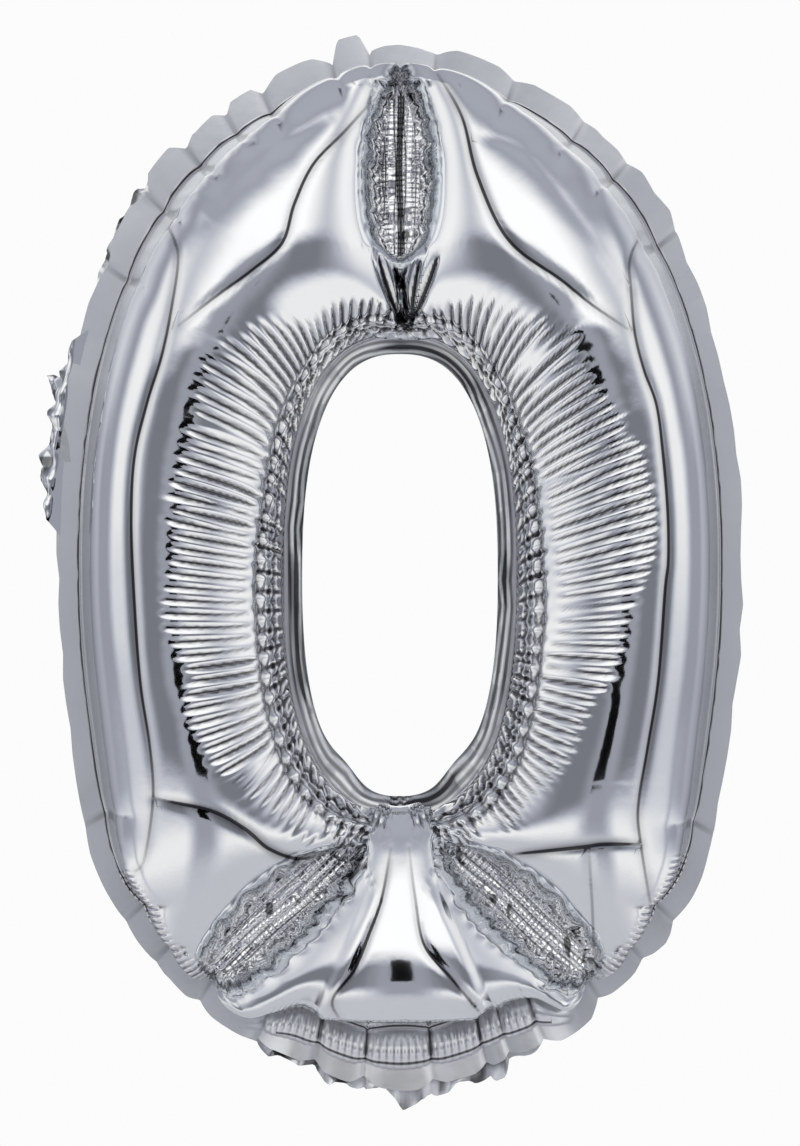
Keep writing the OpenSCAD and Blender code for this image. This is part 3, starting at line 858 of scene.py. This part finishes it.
def crumpled_edge(film):
    """The back ply's flange hangs out past the front's, crumpled, along the bottom and by the tail."""
    turn = film.turn[:, None]
    edge = np.clip((film.t - 1 - LOBE_SHARE * film.lobed) / (1 - LOBE_SHARE * film.lobed), 0, 1)
    much = (band(*BARE_LOW, turn) + 0.75 * band(*BARE_LEFT, turn)) * edge
    run, out = rim_run(film), OUTER_FLANGE * edge
    drop = much * (3.0 + 3.0 * facets(run, out, 7, 5, 31))
    lean = much * 2.2 * facets(run, out, 5, 6, 32)
    shift = much * 0.8 * facets(run, out, 6, 4, 33)
    x, z = film.x[::2] / length(film.x[::2])
    return np.stack([x * drop + shift * z, np.maximum(lean, 0) + 0.6 * much, z * drop - shift * x])


def crumpled_shade(film):
    """Painted shade on the crumpled part of the back ply's flange, where it looks dark."""
    run, out = rim_run(film), OUTER_FLANGE * film.outer
    bare = band(*BARE_LOW, film.turn) + band(*BARE_LEFT, film.turn)
    dark = smooth(-0.1, 0.4, facets(run, out, 3.5, 5, 34))
    return 0.85 * smooth(1.0, 1.1, film.t) * bare[:, None] * dark


def make_bond(name, node, film, start_row, rows, bond, gap=None):
    """The fused layer along a seam: a ribbon between the plies, so many rows wide, and open at a gap."""
    first = film.x[:, :, int(start_row[0])]
    order = np.arange(film.columns)
    if gap:
        keep = ~((first[2] > gap[0]) & (first[2] < gap[1]) & (first[0] < 0))
        start = int(np.flatnonzero(keep & ~np.roll(keep, 1))[0])
        order = np.roll(order, -start)
        order = order[keep[order]]
    at = start_row[order][:, None] + np.arange(rows)[None, :] * np.ones((len(order), 1))
    k = np.minimum(np.floor(at).astype(int), len(film.t) - 2)
    share, column = np.minimum(at - k, 1), order[:, None]
    line, wave = (v[..., column, k] * (1 - share) + v[..., column, k + 1] * share
                  for v in (film.x, film.flange_wave))
    line[1] = wave
    half = np.array([0, 0.5 * PLY_GAP, 0])[:, None, None]
    piece = slab(name, line - half, line + half, closed=gap is None)
    dress(piece, bond, "balloon")
    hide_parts(node)


def make_weld(name, node, film, k, weld, seed, pleats, groove):
    """A weld: the crushed strip where both panels are fused, front and back faces alike."""
    root, along, side, whole = film.weld_lines[k]
    start, stop, half = WELDS[k]
    across, spacing, margin = 76, 0.26, 1.2
    lengthwise = int((stop - start) * whole / spacing)
    v = np.linspace(0, 1, lengthwise)[None, :]
    s = np.linspace(-1, 1, across)[:, None]
    wide = (half + margin) * np.sin(np.pi * np.clip(v, 0.012, 0.988)) ** WELD_BLUNT
    off = s * wide
    run = (start + (stop - start) * v) * whole * np.ones_like(s)
    faces = []
    for way in (0, 1):
        relief, fold = crushed(off, run, seed + 10 * way, pleats, groove, along[1] < 0)
        y = 0.8 + relief + 3.0 * smooth(0.7, 1.0, np.abs(s)) * np.ones_like(v)
        place = root[:, None, None] + along[:, None, None] * run + side[:, None, None] * off
        faces.append(np.stack([place[0], y * (1 if way else -1), place[1]]))
    piece = slab(name, *faces)
    # painted shade in the weld's folds
    paint_points(piece, "line", [fold, fold])
    dress(piece, weld, "balloon")
    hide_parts(node)


def crushed(off, run, seed, pleats, groove, lean):
    """Relief of a weld and the painted shade in its folds: rows of beads along it, with smooth or crumpled
    rows between.
    """
    rng = np.random.default_rng(seed)
    bands = off / pleats + 0.10 * np.sin(run / 6.1 + rng.uniform(0, 6)) + 0.5
    row = np.floor(bands + MIDDLE_BAND).astype(int)
    across = bands % 1
    ridge = np.sin(np.pi * across) ** 0.8
    spans = (0, 6), (0.7, 1.1), (0, 1)
    shift, pitch, much = (rng.uniform(*span, MANY_BANDS)[row] for span in spans)
    slope = (run / (2.3 * pitch) + shift + 0.3 * np.sin(run / 3.7 + 2.1 * row)) % 1
    bead = (slope if lean > 0 else 1 - slope) * smooth(0, 0.15, np.minimum(slope, 1 - slope))
    wild = smooth(0.1, 0.5, facets(off, run, 9, 3, seed + 3)) * (np.abs(off) < 0.55 * np.abs(off).max())
    rib = (1 - wild) * bead * (0.3 + 0.7 * ridge) * (0.4 + 0.6 * much)
    relief = 0.40 * ridge + 0.50 * rib + (0.10 + 0.4 * wild) * facets(off, run, 5, 4, seed + 1) \
        + 0.2 * facets(off, run, 11, 3, seed + 2) + 0.4
    middle = bell(off + 0.3 * np.sin(run / 7), 0.8) * (groove > 0)
    # painted shade between the rows of beads, between beads, along the middle groove and in the cracks
    gaps = (1 - smooth(0.02, 0.10, np.minimum(across, 1 - across))) * (1 - 0.7 * wild)
    between = (1 - smooth(0.06, 0.16, np.minimum(slope, 1 - slope))) * (1 - wild)
    cracks = wild * smooth(0.45, 0.75, facets(off, run, 3.6, 4, seed + 5))
    fold = np.clip((0.4 + 0.5 * much) * gaps + 0.55 * much * between + 0.95 * middle + 0.8 * cracks, 0, 0.95)
    return np.maximum(relief - groove * middle, -0.45), fold


# ---- the tail and its valve

class Tail:
    """The tail's sheet: out is the distance from the fold, and up the distance along it."""

    def __init__(self, joint):
        centre = np.array([0, 0, DIGIT_Z / MM])
        self.fold = np.array(joint["pos_m"]) / MM - centre
        self.up = np.array(joint["axis"])
        self.flat = np.array([-self.up[2], 0, self.up[0]])
        self.angle = math.radians(TAIL_FOLD)

    def at(self, out, up, lift):
        """Points of the folded, crumpled tail, lift towards the front of the flat sheet."""
        bend = np.clip(out / TAIL_RADIUS, 0, self.angle)
        past = np.maximum(out - TAIL_RADIUS * self.angle, 0)
        before = np.minimum(out, 0)
        ahead = before + TAIL_RADIUS * np.sin(bend) + past * math.cos(self.angle)
        behind = TAIL_RADIUS * (1 - np.cos(bend)) + past * math.sin(self.angle)
        loose = 1 - 0.8 * (1 - smooth(9, 15, np.abs(up))) * smooth(6, 14, out)
        swell = smooth(-1.5, 3, out) * (1 - 0.5 * smooth(16, 42, out)) * loose
        crumple = swell * (2.4 * facets(out, up, 10, 4, 41) + 1.6 * facets(out, up, 4.5, 5, 42) + 1.6)
        off = lift + crumple
        ahead = ahead + off * np.sin(bend)
        behind = behind - off * np.cos(bend)
        up = up + 1.6 * swell * facets(out, up, 9, 3, 43)
        place = self.fold[:, None, None] + self.flat[:, None, None] * ahead + self.up[:, None, None] * up
        place[1] += behind
        return place

    def outline(self, out):
        """Half the tail's width, which flares towards the fold."""
        flare = (TAIL_ROOT - TAIL_WIDE) / 2
        near = np.clip(1 - np.maximum(out, 0) / flare, 0, 1)
        mouth = np.clip((out - TAIL_LONG + 3) / 3, 0, 1)
        ragged = 1.2 * facets(out, 0 * out, 6, 3, 44) * smooth(1, 6, out)
        return TAIL_WIDE / 2 + flare * (1 - np.sqrt(1 - near ** 2 * 0.999)) \
            - 3 * (1 - np.sqrt(1 - mouth ** 2 * 0.999)) + 0.9 * np.maximum(-out, 0) + ragged


def make_tail(tail, foil, bond, film):
    """Both plies, the bonds along their edges, and the valve's films between them."""
    steps, wide = 130, 110
    share = np.linspace(-1, 1, wide)[None, :]
    first = -3.2 - 2.2 * share ** 2
    out = first + (TAIL_LONG - first) * np.linspace(0, 1, steps)[:, None]
    up = share * tail.outline(out)
    widths = 2 * tail.outline(out[:, 0])
    # painted shade on the tail's crumpled facets
    dark = 0.85 * smooth(0.0, 0.4, facets(out, up, 3.2, 5, 45)) * smooth(-1, 3, out)
    for name, node, lift in (("tail_front_foil", "tail_front_ply", 0.22),
                             ("tail_back_foil", "tail_back_ply", -0.22)):
        piece = add_piece(name, tail.at(out, up, lift), grid_quads(steps, wide, False, lift > 0))
        for layer, values in (("seal", 0.0), ("fold", NO_FOLD), ("line", dark)):
            paint_points(piece, layer, values)
        dress(piece, foil)
        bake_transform(piece)
        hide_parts(node)
    inset = 0.3
    edge = np.linspace(TAIL_CLEAR, TAIL_LONG - inset, 70)[:, None]
    width = EDGE_BOND + np.linspace(0, 1, 14)[None, :] * (tail.outline(edge) - EDGE_BOND - inset)
    upper, lower = (slab(name, *(tail.at(edge, sign * width, lift) for lift in (PLY_GAP, -PLY_GAP)))
                    for name, sign in (("tail_bond_upper", 1), ("tail_bond_lower", -1)))
    for ribbon in (upper, lower):
        dress(ribbon, bond, "tail")
    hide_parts("tail_edge_bond")
    run = np.linspace(TAIL_CLEAR, TAIL_LONG - 12, 60)[:, None]
    reach = np.linspace(-VALVE_HALF, VALVE_HALF, 30)[None, :] * np.ones_like(run)
    for name, node, near, far in (("tail_valve_front", "tail_valve_front_film", 0.18, 0.08),
                                  ("tail_valve_back", "tail_valve_back_film", -0.08, -0.18)):
        piece = slab(name, tail.at(run, reach, near), tail.at(run, reach, far))
        dress(piece, film, "tail")
        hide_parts(node)


# ---- the stage

def make_camera(centre):
    """A long lens, level with the digit, which sees a little more than its height."""
    distance, seen, film_size, lower = 1.3, 0.380, 36, 0.0023
    data = bpy.data.cameras.new("camera")
    data.lens = film_size * distance / seen
    camera = bpy.data.objects.new("camera", data)
    camera.location = (0, -distance, centre - lower)
    camera.rotation_euler = (math.radians(90), 0, 0)
    bpy.context.scene.collection.objects.link(camera)
    bpy.context.scene.camera = camera


def make_world():
    """A studio light tent by direction: soft boxes at the sides and above, and darker gaps between.
    Each zone is laid over the ones before it. The camera sees a plain white background instead."""
    wall, ground, roof, dim = 0.38, 0.52, 0.47, 0.22
    box_foot, box_head, apron, top_box = 0.50, 0.95, 0.95, 1.15
    world = bpy.data.worlds.new("light_tent")
    bpy.context.scene.world = world
    world.use_nodes = True
    world.node_tree.nodes.clear()
    s = Shading(world.node_tree)
    x, y, z = s.node("SeparateXYZ", {0: s.place["Generated"]}).outputs
    side, facing, down = s.do("ABSOLUTE", x), s.do("ABSOLUTE", y), s.do("MULTIPLY", z, -1.0)
    front, not_high = s.step(facing, -0.1, 0.15), s.rest(s.step(z, 0.5, 0.74))
    level = s.mix(s.step(down, 0.3, 0.62), wall, ground)
    level = s.mix(s.step(z, 0.62, 0.85), level, roof)
    gap = s.both(s.step(side, 0.10, 0.30), s.rest(s.step(side, 0.50, 0.70)))
    gap = s.both(s.both(gap, s.rest(s.step(s.do("ABSOLUTE", z), 0.16, 0.34))), front)
    level = s.mix(gap, level, dim)
    box = s.both(s.both(s.step(side, 0.60, 0.90), s.rest(s.step(down, 0.55, 0.85))), not_high)
    edge = s.do("MAXIMUM", s.step(y, 0.10, -0.24), s.both(s.step(y, 0.40, 0.60), 0.35))
    level = s.mix(s.both(box, edge), level, s.mix(s.step(z, -0.35, 0.15), box_foot, box_head))
    below = s.both(s.both(s.step(down, 0.14, 0.36), s.step(side, 0.06, 0.30)), front)
    level = s.mix(s.both(below, s.rest(s.step(down, 0.70, 0.9))), level, apron)
    above = s.both(s.both(s.step(z, 0.10, 0.26), not_high), s.step(facing, 0.10, 0.5))
    above = s.both(above, s.mix(s.step(side, 0.25, 0.65), 1.0, 0.35))
    level = s.mix(above, level, top_box)
    colour = s.tint(s.step(level, 0.4, 1.0), (0.93, 0.96, 1.08, 1), (1.0, 1.0, 0.99, 1))
    tent = s.node("Background", {"Color": colour, "Strength": level})
    plain = s.node("Background", {"Color": (0.97, 0.97, 0.97, 1)})
    seen = s.node("LightPath", {}).outputs["Is Camera Ray"]
    mix = s.node("MixShader", {0: seen, 1: tent.outputs[0], 2: plain.outputs[0]})
    s.node("OutputWorld", {"Surface": mix.outputs[0]})


def make_card(centre):
    """The dark opening that the camera looks through, which the foil mirrors as small dark marks."""
    ahead, below, wide, high = 1.22, 0.09, 0.19, 0.32
    place = (0, -ahead, centre - below)
    bpy.ops.mesh.primitive_plane_add(size=1, location=place, rotation=(math.radians(90), 0, 0))
    card = bpy.context.object
    card.name = "camera_opening"
    card.scale = (wide, high, 1)
    card.visible_camera = False
    card.visible_shadow = False
    material, s = new_material("opening")
    s.surface({"Base Color": (0.004, 0.004, 0.004, 1), "Roughness": 0.9, "Specular IOR Level": 0.0})
    card.data.materials.append(material)


def make_floor(level):
    """A pale floor that fades out towards its rim."""
    bpy.ops.mesh.primitive_circle_add(vertices=96, radius=0.5, fill_type="NGON", location=(0, 0, level))
    floor = bpy.context.object
    floor.name = "floor"
    material, s = new_material("floor")
    far = s.node("VectorMath", {0: s.place["Object"]}, operation="LENGTH").outputs["Value"]
    s.surface({"Base Color": (0.9, 0.9, 0.9, 1), "Roughness": 0.6, "Alpha": s.step(far, 0.2, 0.48, 1.0, 0.0),
               "Emission Color": (0.95, 0.95, 0.95, 1), "Emission Strength": 0.1})
    floor.data.materials.append(material)


low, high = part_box("front_panel")
DIGIT_Z = (low.z + high.z) / 2

foil, weld = foil_material(), weld_material()
bond, valve = clear_film("bond", 0.12, 0.85), clear_film("valve_film", 0.06, 0.9)

valve_low, valve_high = (corner.z / MM - DIGIT_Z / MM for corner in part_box("valve_front_film"))
film = Film(*COARSE).relax(150, 0.05)
film = film.refined(*MIDDLE).relax(60, 0.01)
film = film.refined(*GRID).relax(20, 0.003)
film = film.seed_wrinkles(0.4).relax(180, 0.0025, push=1.0, stiff=0.03)
film = film.calm_edge().shift_crown().flatten_pillow().pucker().crease().finish(valve_low, valve_high)

make_panels(film, foil)
outer_rows = film.last + GRID[-1] * LOBE_SHARE * film.lobed[:, 0]
make_bond("outer_bond", "outer_seam_bond", film, outer_rows, 5, bond, (valve_low - 1, valve_high + 1))
make_bond("inner_bond", "inner_seam_bond", film, np.full(film.columns, film.first - 4.0), 5, bond)
weld_looks = ("top", 51, 3.4, 2.2), ("lower_right", 61, 3.1, 0.0), ("lower_left", 71, 3.1, 0.0)
for number, (place, seed, pleats, groove) in enumerate(weld_looks):
    make_weld(place + "_crushed_weld", place + "_weld", film, number, weld, seed, pleats, groove)
make_tail(Tail(frame["joints"][0]), foil, bond, valve)
for name, finish in (("valve_front_film", valve), ("valve_back_film", valve), ("valve_edge_seals", bond)):
    node = frame["nodes"][name]
    node.data.materials.clear()
    node.data.materials.append(finish)

make_camera(DIGIT_Z)
make_world()
make_card(DIGIT_Z)
make_floor(low.z - FLOOR_BELOW)

bpy.context.scene.view_settings.view_transform = "Standard"
